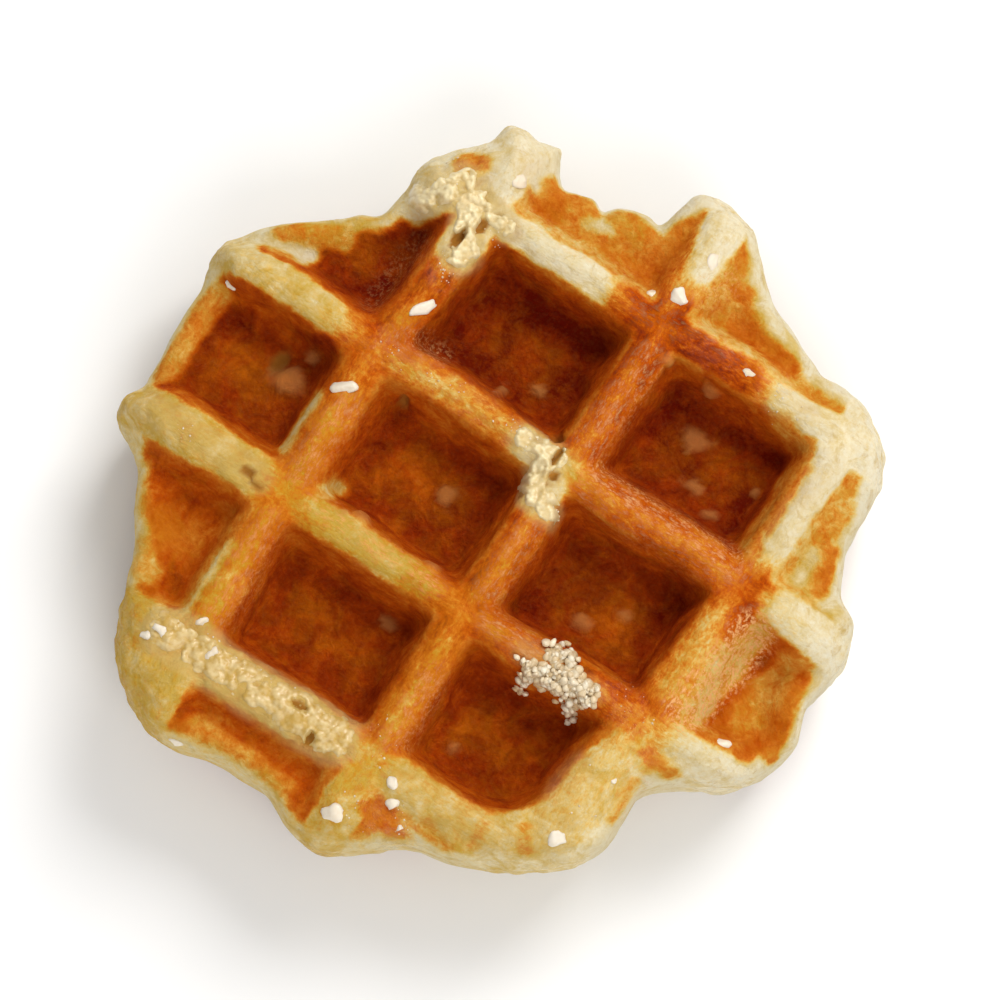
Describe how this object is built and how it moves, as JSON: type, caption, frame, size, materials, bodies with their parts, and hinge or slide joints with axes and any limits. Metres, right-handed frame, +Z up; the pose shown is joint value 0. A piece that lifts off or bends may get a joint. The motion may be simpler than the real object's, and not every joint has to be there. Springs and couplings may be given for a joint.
{
  "type": "liege waffle",
  "caption": "Thick sugar-dough waffle with a lobed rim and a rectangular grid of deep pockets in both faces, ready to hold syrup or cream.",
  "frame": {"origin": "middle of the waffle's box, at the level of its lower ribs", "axes": "+Z up through the waffle, +X along the rows of ribs, +Y along the columns of ribs, right-handed"},
  "size_m": [0.1006, 0.102, 0.027],
  "materials": {
    "crust": "caramelised golden-brown crust, paler cream dough at the rim, lightly glossy",
    "pearl_sugar": "white translucent sugar grains, sparkling on broken faces"
  },
  "bodies": {
    "root": {"waffle": "crust"}
  },
  "joints": []
}
